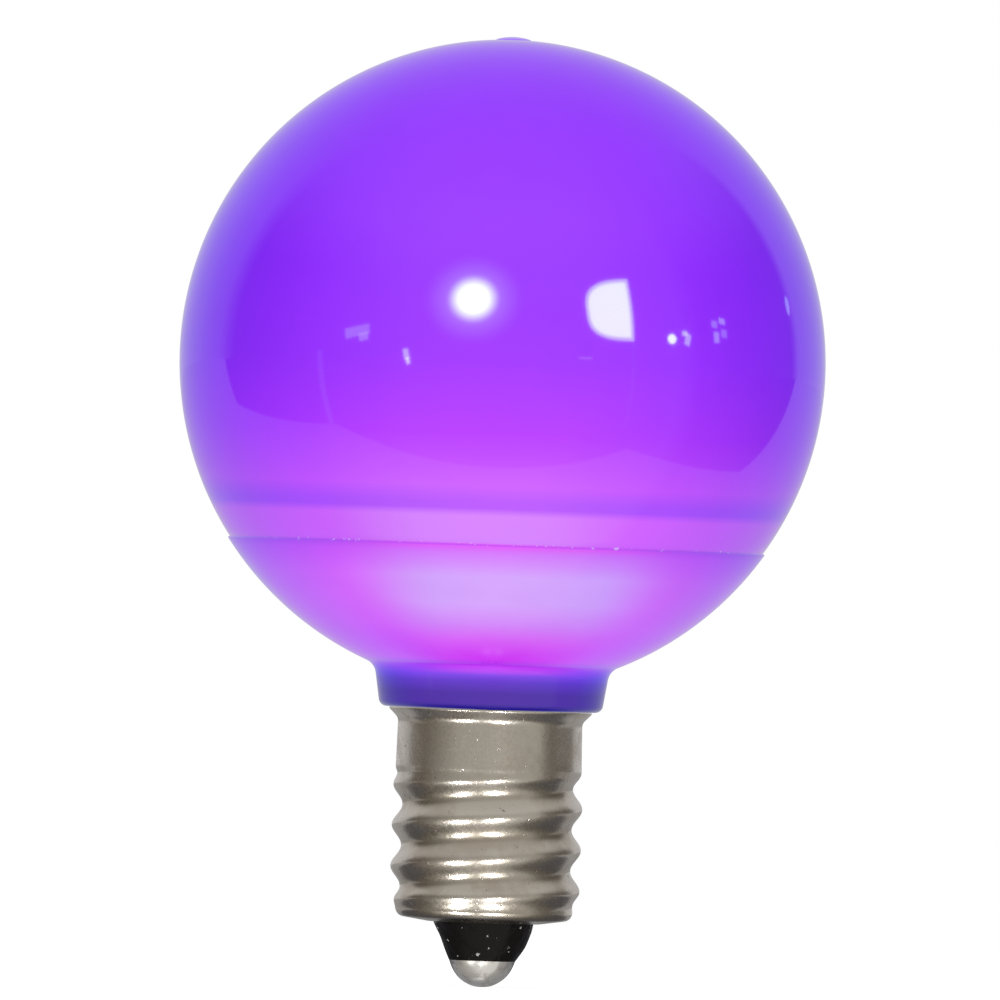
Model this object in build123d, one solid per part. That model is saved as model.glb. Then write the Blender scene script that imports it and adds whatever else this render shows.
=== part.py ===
from build123d import *
import math
import os

# A 40 mm globe bulb on a candelabra screw base, with light-emitting diodes inside. Millimetres.
# The bulb stands on the tip of its centre contact, at the origin, and +Z runs up its axis to the globe.
# Heights are worked out from the tip upwards, so that a longer piece lifts all that sits on it.

# Centre contact and the eyelet behind it
solder_radius = 2.05
solder_height = 1.64
eyelet_radius = 0.85
eyelet_rim_radius = 1.3
eyelet_rim_height = 0.3
eyelet_floor = 0.5

# Black insulator
insulator_height = 2.36
insulator_tip_radius = 2.07
flange_thickness = 1.5
flange_bevel = 0.3
boss_radius = 2.4
boss_height = 0.7

# Screw shell, drawn from thin sheet
sheet = 0.25
shell_length = 13.2
edge_hole_radius = 3.45
edge_rise = 0.3
edge_corner_height = 0.6
edge_bevel = 0.22
foot_radius = 5.3
thread_mean_radius = 5.56
thread_depth = 0.64
thread_pitch = 2.54
thread_crest_height = 11.17
foot_run_out = 0.6
foot_blend = 1.5
head_run_out = 1.3
levels_per_turn = 12
inner_levels_per_turn = 5
band_height = 2.6
band_foot_radius = 5.75
band_head_radius = 5.7
bell_height = 0.7
bell_radius = 6.38
bell_bend = 0.5

# Globe cup: collar, spigot and lower bowl
collar_radius = 6.88
collar_top_radius = 7.28
collar_height = 2.6
collar_corner = 0.5
neck_fillet = 1.0
spigot_wall = 0.95
spigot_bevel = 0.15
spigot_end_gap = 0.12
pocket_radius = 5.9
ledge_height = 1.4
cup_wall = 1.0

# Globe and seam
globe_diameter = 40.0
dome_wall = 1.0
seam_drop = 11.25
rim_lift = 0.23
rim_bevel = 0.1
dome_edge_bevel = 0.08
lip_wall = 0.7
lip_height = 3.0
lip_root = 1.4
gate_radius = 1.1
gate_height = 0.18

# Board and what it carries
board_thickness = 1.0
led_length = 3.5
led_width = 2.8
led_height = 0.7
led_window_edge = 0.45
led_window_depth = 0.15
led_edge_margin = 0.5
led_count = 4
chip_length = 2.9
chip_width = 1.6
chip_height = 0.9
chip_pin_reach = 0.5
rectifier_length = 3.2
rectifier_width = 2.6
rectifier_height = 1.2
rectifier_pin_reach = 0.2
package_shift = 2.3
package_bevel = 0.2
pin_width = 0.4
pin_height = 0.2
pin_pitch = 0.95
resistor_radius = 1.05
resistor_bevel = 0.3
resistor_length = 5.2
resistor_drop = 3.4
lead_radius = 0.25
lead_corner = 0.35
lead_stub = 0.3
shell_lead_climb = 1.5

# Clearances
plug_clearance = 0.05
eyelet_clearance = 0.05
flange_clearance = 0.08
spigot_clearance = 0.06
board_clearance = 0.1
lip_clearance = 0.1
bore_gap = 0.3
lead_hole_clearance = 0.05
lead_fold_gap = 0.4

# Where a primitive stands on its own origin or hangs from it
UPRIGHT = (Align.CENTER, Align.CENTER, Align.MIN)
HANGING = (Align.CENTER, Align.CENTER, Align.MAX)

# Heights that follow
edge_z = solder_height + insulator_height
thread_foot_z = edge_z + edge_corner_height
collar_z = edge_z + shell_length
bell_z = collar_z - bell_height
band_z = bell_z - band_height
neck_z = collar_z + collar_height
globe_radius = globe_diameter / 2
cup_centre_z = neck_z + math.sqrt(globe_radius**2 - collar_top_radius**2)
dome_centre_z = cup_centre_z + rim_lift
seam_z = dome_centre_z - seam_drop
ledge_z = collar_z + ledge_height
board_top_z = ledge_z + board_thickness

# Radii and places that follow
inner_foot_radius = foot_radius - sheet
flange_radius = inner_foot_radius - thread_depth / 2 - flange_clearance
spigot_radius = band_head_radius - sheet - spigot_clearance
bore_radius = spigot_radius - spigot_wall
spigot_z = band_z + spigot_end_gap
board_radius = pocket_radius - board_clearance
dome_mouth_radius = math.sqrt((globe_radius - dome_wall) ** 2 - seam_drop**2)
lip_radius = dome_mouth_radius - lip_clearance
led_ring_radius = board_radius - led_width / 2 - led_edge_margin
lead_inner_y = bore_radius - lead_radius - bore_gap
lead_outer_y = spigot_radius - lead_radius
lead_hole_radius = lead_radius + lead_hole_clearance


def edge_inner_z(radius):
    """Height of the upper face of the shell's turned-in edge at a radius."""
    slope = edge_rise / (foot_radius - edge_hole_radius)
    return edge_z + sheet + slope * (radius - edge_hole_radius)


flange_top_z = edge_inner_z(flange_radius) + flange_thickness
boss_top_z = flange_top_z + boss_height
eyelet_floor_z = solder_height + eyelet_floor


def turned(section):
    """Turn a section, drawn as radius and height, about the bulb's axis."""
    return revolve(Plane.XZ * section, Axis.Z)


def band(inner, outer, low, high):
    """Section of a plain ring between two radii and two heights."""
    return Pos((inner + outer) / 2, (low + high) / 2) * Rectangle(outer - inner, high - low)


def outline(points, radii):
    """Section with straight sides, and one rounding radius for all points or for each."""
    return make_face(FilletPolyline(*points, radius=radii, close=True))


def corner_near(section, radius, height):
    """The section's vertex that lies nearest to a radius and height."""
    return section.vertices().sort_by_distance((radius, height, 0))[0]


def smooth(share):
    """Ease from 0 to 1 as the share goes from 0 to 1, level at both ends."""
    share = min(max(share, 0.0), 1.0)
    return share * share * (3 - 2 * share)


def make_dome():
    """Upper shell of the globe, with the low gate mark at its pole and a fine bevel at its edge."""
    top_z = dome_centre_z + globe_radius
    mark_radius = (gate_radius**2 + gate_height**2) / (2 * gate_height)
    section = Pos(0, dome_centre_z) * Circle(globe_radius)
    section += Pos(0, top_z + gate_height - mark_radius) * Circle(mark_radius)
    section -= Pos(0, dome_centre_z) * Circle(globe_radius - dome_wall)
    section &= band(0, globe_radius + 1, seam_z, top_z + 1)
    rim_radius = math.sqrt(globe_radius**2 - seam_drop**2)
    section = chamfer(corner_near(section, rim_radius, seam_z), dome_edge_bevel)
    return turned(section)


def make_cup():
    """Lower bowl with its collar, the spigot that the shell grips, the board's ledge and the seam's lip."""
    globe = Pos(0, cup_centre_z) * Circle(globe_radius)
    section = globe & band(0, globe_radius + 1, collar_z, seam_z)
    section += outline(
        [
            (bore_radius, spigot_z),
            (spigot_radius - spigot_bevel, spigot_z),
            (spigot_radius, spigot_z + spigot_bevel),
            (spigot_radius, collar_z),
            (collar_radius, collar_z),
            (collar_top_radius, neck_z),
            (bore_radius, neck_z),
        ],
        [0, 0, 0, 0, collar_corner, 0, 0],
    )
    section = fillet(corner_near(section, collar_top_radius, neck_z), neck_fillet)
    rim_radius = math.sqrt(globe_radius**2 - (seam_drop - rim_lift) ** 2)
    section = chamfer(corner_near(section, rim_radius, seam_z), rim_bevel)
    section -= Pos(0, cup_centre_z) * Circle(globe_radius - cup_wall)
    section -= band(0, pocket_radius, ledge_z, cup_centre_z)
    section -= band(0, bore_radius, spigot_z, cup_centre_z)
    section += band(lip_radius - lip_wall, lip_radius, seam_z - lip_root, seam_z + lip_height)
    section += band(lip_radius, lip_radius + cup_wall / 2, seam_z - cup_wall / 2, seam_z)
    groove_height = shell_lead_climb + lead_hole_radius
    groove = Pos(0, lead_outer_y, spigot_z) * Cylinder(lead_hole_radius, groove_height, align=UPRIGHT)
    mouth = Pos(0, spigot_radius, spigot_z) * Box(2 * lead_hole_radius, lead_radius, groove_height, align=UPRIGHT)
    return turned(section) - groove - mouth


def shell_level(height):
    """Radius, offset from the axis and direction of the thread's round section at one height.

    Each level section of a single-start rolled thread is a circle set off the axis by half the thread's depth,
    and its direction turns once in each pitch. The offset dies out at both ends of the thread.
    """
    head = smooth((band_z - height) / head_run_out)
    foot = smooth((height - thread_foot_z) / foot_run_out)
    body = smooth((height - thread_foot_z) / foot_blend)
    radius = thread_mean_radius + (band_foot_radius - thread_mean_radius) * (1 - head)
    radius -= (thread_mean_radius - foot_radius) * (1 - body)
    turn = (height - thread_crest_height) / thread_pitch
    return radius, thread_depth / 2 * head * foot, 2 * math.pi * turn


def thread_core(inset, levels, straight):
    """Solid of the threaded length, smaller by an inset all round, through so many levels in each turn."""
    length = band_z - thread_foot_z
    steps = round(levels * length / thread_pitch)
    sections = []
    for step in range(steps + 1):
        height = thread_foot_z + length * step / steps
        radius, offset, angle = shell_level(height)
        centre = Pos(offset * math.cos(angle), offset * math.sin(angle), height)
        sections.append(centre * Circle(radius - inset))
    return loft(sections, ruled=straight)


def make_shell():
    """Sheet shell: turned-in edge, rolled thread, plain band and the bell under the collar."""
    edge = outline(
        [
            (edge_hole_radius, edge_z),
            (foot_radius - edge_bevel, edge_inner_z(foot_radius - edge_bevel) - sheet),
            (foot_radius, edge_z + edge_rise + edge_bevel),
            (foot_radius, thread_foot_z),
            (inner_foot_radius, thread_foot_z),
            (inner_foot_radius, edge_inner_z(inner_foot_radius)),
            (edge_hole_radius, edge_z + sheet),
        ],
        0,
    )
    head = outline(
        [
            (band_foot_radius, band_z),
            (band_head_radius, bell_z),
            (bell_radius, collar_z),
            (bell_radius - 1.4 * sheet, collar_z),
            (band_head_radius - sheet, bell_z + sheet / 4),
            (band_foot_radius - sheet, band_z),
        ],
        [0, bell_bend, 0, 0, bell_bend + sheet, 0],
    )
    thread = thread_core(0, levels_per_turn, False) - thread_core(sheet, inner_levels_per_turn, True)
    return thread + turned(edge) + turned(head)


def make_insulator():
    """Black cone through the shell's edge, with the flange that rests on that edge and a hole for the eyelet."""
    plug_radius = edge_hole_radius - plug_clearance
    hole_radius = eyelet_radius + eyelet_clearance
    section = outline(
        [
            (hole_radius, solder_height),
            (insulator_tip_radius, solder_height),
            (plug_radius, edge_z),
            (plug_radius, edge_inner_z(plug_radius)),
            (flange_radius, edge_inner_z(flange_radius)),
            (flange_radius, flange_top_z - flange_bevel),
            (flange_radius - flange_bevel, flange_top_z),
            (boss_radius, flange_top_z),
            (boss_radius, boss_top_z),
            (hole_radius, boss_top_z),
        ],
        0,
    )
    return turned(section)


def make_contact():
    """Solder dome with the eyelet that is rolled over on the insulator's boss and takes the resistor's lead."""
    rim_z = boss_top_z + eyelet_rim_height
    ball_radius = (solder_radius**2 + solder_height**2) / (2 * solder_height)
    section = Pos(0, ball_radius) * Circle(ball_radius) & band(0, ball_radius, 0, solder_height)
    section += band(0, eyelet_radius, solder_height, rim_z)
    section += band(0, eyelet_rim_radius, boss_top_z, rim_z)
    section = chamfer(corner_near(section, eyelet_rim_radius, rim_z), eyelet_rim_height / 2)
    section -= band(0, lead_hole_radius, eyelet_floor_z, rim_z)
    return turned(section)


def make_board():
    """Round board with a hole for the resistor's lead and one for the shell's."""
    middle = Pos(0, 0, ledge_z + board_thickness / 2)
    board = middle * Cylinder(board_radius, board_thickness)
    for hole_y in (0, lead_inner_y):
        board -= middle * Pos(0, hole_y, 0) * Cylinder(lead_hole_radius, board_thickness)
    return board


def make_led(angle):
    """One emitter: a flat package with a shallow window, set square to the ring that it stands on."""
    package = Box(led_width, led_length, led_height, align=UPRIGHT)
    window_width = led_width - 2 * led_window_edge
    window_length = led_length - 2 * led_window_edge
    package -= Pos(0, 0, led_height) * Box(window_width, window_length, 2 * led_window_depth)
    return Rot(0, 0, angle) * Pos(led_ring_radius, 0, board_top_z) * package


def flat_package(width, length, height, pin_reach):
    """Moulded block that hangs from height 0, with bevelled lower edges and two flat pins at each long side."""
    block = Box(width, length, height, align=HANGING)
    block = chamfer(block.edges().group_by(Axis.Z)[0], package_bevel)
    pin_length = width + 2 * pin_reach
    for side in (-1, 1):
        block += Pos(0, side * pin_pitch, 0) * Box(pin_length, pin_width, pin_height, align=HANGING)
    return block


def make_chip():
    """Current regulator: a small moulded block with two pins at each long side, on the board's lower face."""
    chip = flat_package(chip_width, chip_length, chip_height, chip_pin_reach)
    return Pos(package_shift, 0, ledge_z) * chip


def make_rectifier():
    """Bridge rectifier: a flat moulded block with four pins, on the board's lower face."""
    block = flat_package(rectifier_width, rectifier_length, rectifier_height, rectifier_pin_reach)
    return Pos(-package_shift, 0, ledge_z) * block


def make_resistor():
    """Resistor that hangs on the axis under the board, with its lead going straight down into the eyelet."""
    top = ledge_z - resistor_drop
    foot = top - resistor_length
    section = outline(
        [
            (0, foot),
            (resistor_radius - resistor_bevel, foot),
            (resistor_radius, foot + resistor_bevel),
            (resistor_radius, top - resistor_bevel),
            (resistor_radius - resistor_bevel, top),
            (0, top),
        ],
        0,
    )
    section += band(0, lead_radius, eyelet_floor_z, board_top_z + lead_stub)
    return turned(section)


def make_shell_lead():
    """Bare lead from the board, folded round the spigot's lower edge, that the shell clamps in its groove."""
    fold_z = spigot_z - lead_fold_gap
    path = Polyline(
        (0, lead_inner_y, board_top_z + lead_stub),
        (0, lead_inner_y, fold_z + lead_corner),
        (0, lead_inner_y + lead_corner, fold_z),
        (0, lead_outer_y - lead_corner, fold_z),
        (0, lead_outer_y, fold_z + lead_corner),
        (0, lead_outer_y, spigot_z + shell_lead_climb),
    )
    start = Plane(origin=path @ 0, z_dir=path % 0)
    return sweep(start * Circle(lead_radius), path=path, transition=Transition.RIGHT)


def make_pieces():
    """All pieces by node name."""
    pieces = {
        "globe_dome": make_dome(),
        "globe_cup": make_cup(),
        "screw_shell": make_shell(),
        "insulator": make_insulator(),
        "centre_contact": make_contact(),
        "circuit_board": make_board(),
        "driver_chip": make_chip(),
        "bridge_rectifier": make_rectifier(),
        "fuse_resistor": make_resistor(),
        "shell_lead": make_shell_lead(),
    }
    for index in range(led_count):
        pieces[f"led_{index + 1}"] = make_led(360 / led_count * (index + 0.5))
    return pieces


os.makedirs("parts", exist_ok=True)
for name, piece in make_pieces().items():
    export_step(piece, f"parts/{name}.step")
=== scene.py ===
"""Studio look of a violet led globe bulb on a candelabra screw base.

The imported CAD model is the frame. The globe's two mouldings, the rolled screw shell, the black insulator and the
solder tip get smooth surfaces of the same form, because the CAD's facets would show in their outlines. The board and
its parts inside keep their CAD shapes and get finishes. Lengths are metres, heights are above the solder tip, and the
bulb's axis is +Z.
"""
import logging
import math
from abc import ABC, abstractmethod
from collections.abc import Callable
from dataclasses import dataclass
from enum import Enum

import bpy
import numpy as np
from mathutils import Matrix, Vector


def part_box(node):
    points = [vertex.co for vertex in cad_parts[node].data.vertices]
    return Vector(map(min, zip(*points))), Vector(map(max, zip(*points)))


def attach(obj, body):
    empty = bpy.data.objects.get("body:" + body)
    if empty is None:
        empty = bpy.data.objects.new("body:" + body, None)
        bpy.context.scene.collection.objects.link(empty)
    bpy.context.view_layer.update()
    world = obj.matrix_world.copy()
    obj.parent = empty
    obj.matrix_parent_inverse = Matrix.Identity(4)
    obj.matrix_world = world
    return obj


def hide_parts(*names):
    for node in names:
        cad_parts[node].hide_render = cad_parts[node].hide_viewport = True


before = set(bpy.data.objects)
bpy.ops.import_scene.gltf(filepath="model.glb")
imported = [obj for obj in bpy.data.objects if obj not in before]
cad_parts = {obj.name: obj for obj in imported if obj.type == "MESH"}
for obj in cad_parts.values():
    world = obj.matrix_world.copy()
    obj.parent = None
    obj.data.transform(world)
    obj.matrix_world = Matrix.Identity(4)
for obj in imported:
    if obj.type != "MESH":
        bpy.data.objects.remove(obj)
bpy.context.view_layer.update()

Colour = tuple[float, float, float]
Span = tuple[float, float]
Path = np.ndarray
Piece = bpy.types.Object
Socket = bpy.types.NodeSocket
Sockets = bpy.types.bpy_prop_collection

log = logging.getLogger("bulb")
MM = 0.001
BODY = "root"
WHITE: Colour = (1.0, 1.0, 1.0)
BLACK: Colour = (0.0, 0.0, 0.0)
GLOBE_CENTRE = 38.66 * MM
SHARP_EDGE = math.radians(32)
GRAIN_SPAN: Span = (0.3, 0.7)
NEARLY_NONE = 1e-6


def linear(red: float, green: float, blue: float) -> Colour:
    """Linear colour of display values from 0 to 255.

    Args:
        red: how red it is on a display.
        green: how green.
        blue: how blue.

    Returns:
        The colour as a material takes it.
    """
    share = np.array((red, green, blue)) / 255
    light = np.where(share <= 0.04045, share / 12.92, ((share + 0.055) / 1.055) ** 2.4)
    return tuple(float(value) for value in light)


def scaled(colour: Colour, factor: float) -> Colour:
    """A colour made lighter or darker."""
    return tuple(value * factor for value in colour)


def eased(share: np.ndarray) -> np.ndarray:
    """Shares held between 0 and 1 and eased with 3s² - 2s³."""
    share = np.clip(share, 0, 1)
    return share * share * (3 - 2 * share)


def placed(name: str, data: bpy.types.ID) -> Piece:
    """A new object with some data, linked to the scene.

    Args:
        name: the object's name.
        data: its mesh, light or camera.

    Returns:
        The object.
    """
    made = bpy.data.objects.new(name, data)
    bpy.context.scene.collection.objects.link(made)
    return made


class Graph:
    """Adds and joins the nodes of one tree."""

    def __init__(self, tree: bpy.types.NodeTree) -> None:
        """Keeps the tree."""
        self.tree = tree

    def feed(self, node: bpy.types.Node, feeds: dict) -> None:
        """Links sockets to a node's inputs, by name or place, and sets the others to plain values or colours.

        Args:
            node: the node that is fed.
            feeds: a value or a socket for each input.
        """
        for key, value in feeds.items():
            socket = node.inputs[key]
            if isinstance(value, Socket):
                self.tree.links.new(value, socket)
            else:
                socket.default_value = (*value, 1.0) if socket.type == "RGBA" else value

    def node(self, kind: str, feeds: dict | None = None, **settings: object) -> Sockets:
        """Adds one node.

        Args:
            kind: the node's type without its leading ShaderNode.
            feeds: for each input, by name or place, a value or the socket that is linked to it.
            settings: the node's own properties.

        Returns:
            The outputs of the new node.
        """
        made = self.tree.nodes.new("ShaderNode" + kind)
        for name, value in settings.items():
            setattr(made, name, value)
        self.feed(made, feeds or {})
        return made.outputs

    def math(self, operation: str, *terms: object) -> Socket:
        """Result of one sum on numbers or sockets."""
        return self.node("Math", dict(enumerate(terms)), operation=operation)[0]

    def vector(self, operation: str, *terms: object) -> Sockets:
        """Vector and Value that come from one sum on vectors."""
        return self.node("VectorMath", dict(enumerate(terms)), operation=operation)

    def ease(
        self, value: Socket, low: object, high: object, ends: Span = (0.0, 1.0), kind: str = "SMOOTHSTEP"
    ) -> Socket:
        """A number that goes from the first end to the second as a value goes from low to high."""
        feeds = {"Value": value, "From Min": low, "From Max": high, "To Min": ends[0], "To Max": ends[1]}
        return self.node("MapRange", feeds, interpolation_type=kind)["Result"]

    def grained(self, grain: Socket, ends: Span) -> Socket:
        """A number that follows a grain from one end to the other over the span in which nearly all of it lies."""
        return self.ease(grain, *GRAIN_SPAN, ends)

    def mix(self, share: object, first: object, second: object, blend: str = "MIX") -> Socket:
        """Blend of two colours."""
        feeds = {"Factor": share, 6: first, 7: second}
        return self.node("Mix", feeds, data_type="RGBA", blend_type=blend)[2]

    def ramp(self, share: Socket, stops: list[tuple[float, Colour]]) -> Socket:
        """Colour ramp through so many stops of place and colour.

        Args:
            share: the place along the ramp.
            stops: place and colour of each stop.

        Returns:
            The ramp's colour.
        """
        made = self.tree.nodes.new("ShaderNodeValToRGB")
        self.feed(made, {"Fac": share})
        elements = made.color_ramp.elements
        for index, (place, colour) in enumerate(stops):
            element = elements[index] if index < len(elements) else elements.new(place)
            element.position = place
            element.color = (*colour, 1.0)
        return made.outputs["Color"]

    def relief(self, height: Socket, strength: float, distance: float) -> Socket:
        """Normal of a surface that a height raises."""
        return self.node("Bump", {"Height": height, "Strength": strength, "Distance": distance})["Normal"]

    def place(self, space: str = "Object") -> Socket:
        """Where the shaded point is on the bulb, or the direction of a ray with the space Generated."""
        return self.node("TexCoord")[space]

    def turn(self, place: Socket) -> Socket:
        """Angle of a place round the bulb's axis, from the camera's side to the right."""
        sides = self.node("SeparateXYZ", {0: place})
        return self.math("ARCTAN2", sides["X"], self.math("MULTIPLY", sides["Y"], -1.0))

    def seen_by_camera(self, others: object, shown: Colour) -> Socket:
        """One colour for the camera's rays and another for all others."""
        return self.mix(self.node("LightPath")["Is Camera Ray"], others, shown)

    def group(self, tree: bpy.types.NodeTree, **values: float) -> Sockets:
        """Outputs of a shared effect with its own values."""
        return self.node("Group", values, node_tree=tree)


def new_material(name: str) -> tuple[bpy.types.Material, Graph]:
    """A new material of nodes and its graph.

    Args:
        name: the material's name.

    Returns:
        The material, and the graph of its nodes.
    """
    made = bpy.data.materials.new(name)
    made.use_nodes = True
    return made, Graph(made.node_tree)


def new_effect(
    name: str, inputs: dict[str, float], wire: Callable[[Graph, Sockets], dict[str, Socket]]
) -> bpy.types.NodeTree:
    """Makes a shader node group that works on numbers.

    Args:
        name: the group's name.
        inputs: each number that goes in, with its default.
        wire: adds the nodes to a graph that is given the inputs, and returns each result by name.

    Returns:
        The group's tree.
    """
    tree = bpy.data.node_groups.new(name, "ShaderNodeTree")
    for label, value in inputs.items():
        tree.interface.new_socket(label, in_out="INPUT", socket_type="NodeSocketFloat").default_value = value
    graph = Graph(tree)
    results = wire(graph, tree.nodes.new("NodeGroupInput").outputs)
    for label in results:
        tree.interface.new_socket(label, in_out="OUTPUT", socket_type="NodeSocketFloat")
    graph.feed(tree.nodes.new("NodeGroupOutput"), results)
    return tree


class Effects:
    """Shader node groups that several finishes share."""

    def __init__(self) -> None:
        """Builds each group once."""
        self.height = new_effect("height_share", {"Low": 0.0, "High": 1.0}, self._height)
        self.reach = new_effect("reach_share", {"Near": 0.0, "Far": 1.0}, self._reach)
        self.lobes = new_effect("emitter_lobes", {"Count": 3.0, "Turn": 0.0, "Low": -0.3, "High": 0.95}, self._lobes)
        self.wear = new_effect("fine_wear", {"Size": MM, "Least": 0.62, "Most": 0.7}, self._wear)

    @staticmethod
    def _height(graph: Graph, given: Sockets) -> dict[str, Socket]:
        """Share of the way up from Low to High, by the height on the bulb."""
        height = graph.node("SeparateXYZ", {0: graph.place()})["Z"]
        return {"Share": graph.ease(height, given["Low"], given["High"], kind="LINEAR")}

    @staticmethod
    def _reach(graph: Graph, given: Sockets) -> dict[str, Socket]:
        """Share of the way out from Near to Far, by the distance from the bulb's axis.

        Args:
            graph: the group's graph.
            given: its inputs.

        Returns:
            The Share.
        """
        flat = graph.vector("MULTIPLY", graph.place(), (1, 1, 0))["Vector"]
        reach = graph.vector("LENGTH", flat)["Value"]
        return {"Share": graph.ease(reach, given["Near"], given["Far"], kind="LINEAR")}

    @staticmethod
    def _lobes(graph: Graph, given: Sockets) -> dict[str, Socket]:
        """Mask of painted lobes of light: the directions round the axis in which more of the emitters' light is painted
        on the wall.

        The mask follows the cosine of so many times the angle round the axis, from the turn on: 1 straight ahead of
        a lobe, 0 half-way between two.

        Args:
            graph: the group's graph.
            given: its inputs.

        Returns:
            The Lobe.
        """
        angle = graph.math("SUBTRACT", graph.turn(graph.place()), given["Turn"])
        wave = graph.math("COSINE", graph.math("MULTIPLY", angle, given["Count"]))
        return {"Lobe": graph.ease(wave, given["Low"], given["High"])}

    @staticmethod
    def _wear(graph: Graph, given: Sockets) -> dict[str, Socket]:
        """Cloudy grain of one size, with small marks that are left where it peaks.

        Args:
            graph: the group's graph.
            given: its inputs.

        Returns:
            The Grain and the Marks.
        """
        scale = graph.math("DIVIDE", 1.0, given["Size"])
        feeds = {"Vector": graph.place(), "Scale": scale, "Detail": 4.0, "Roughness": 0.6}
        grain = graph.node("TexNoise", feeds)["Fac"]
        return {"Grain": grain, "Marks": graph.ease(grain, given["Least"], given["Most"])}


@dataclass(frozen=True)
class Wear:
    """Grain of one size, and the span of it over which its marks come in."""

    size: float
    span: Span = (0.62, 0.70)

    def wire(self, graph: Graph, effects: Effects) -> Sockets:
        """Its Grain and its Marks."""
        return graph.group(effects.wear, Size=self.size, Least=self.span[0], Most=self.span[1])


@dataclass(frozen=True)
class Finish(ABC):
    """One procedural material, named after the record's slot that it stands for."""

    slot: str

    @abstractmethod
    def wire(self, graph: Graph, effects: Effects) -> dict[str, object]:
        """Value or socket for each input of the shader that isn't left at its default."""

    def material(self, effects: Effects) -> bpy.types.Material:
        """The material, built with the shared effects. None of them lights the studio.

        Args:
            effects: the shared effects.

        Returns:
            The material.
        """
        made, graph = new_material(self.slot + "_finish")
        made.cycles.emission_sampling = "NONE"
        graph.feed(made.node_tree.nodes["Principled BSDF"], self.wire(graph, effects))
        return made


@dataclass(frozen=True)
class Band:
    """Even band of the wall's painted glow: its two heights, and its display colour ahead of a painted lobe of light
    and between two.
    """

    low: float
    high: float
    ahead: Colour
    between: Colour


def bands(datum: float, *rows: tuple[float, float, Colour, Colour]) -> tuple[Band, ...]:
    """Bands whose heights are given in millimetres above a datum."""
    return tuple(Band(datum + low * MM, datum + high * MM, ahead, between) for low, high, ahead, between in rows)


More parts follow.
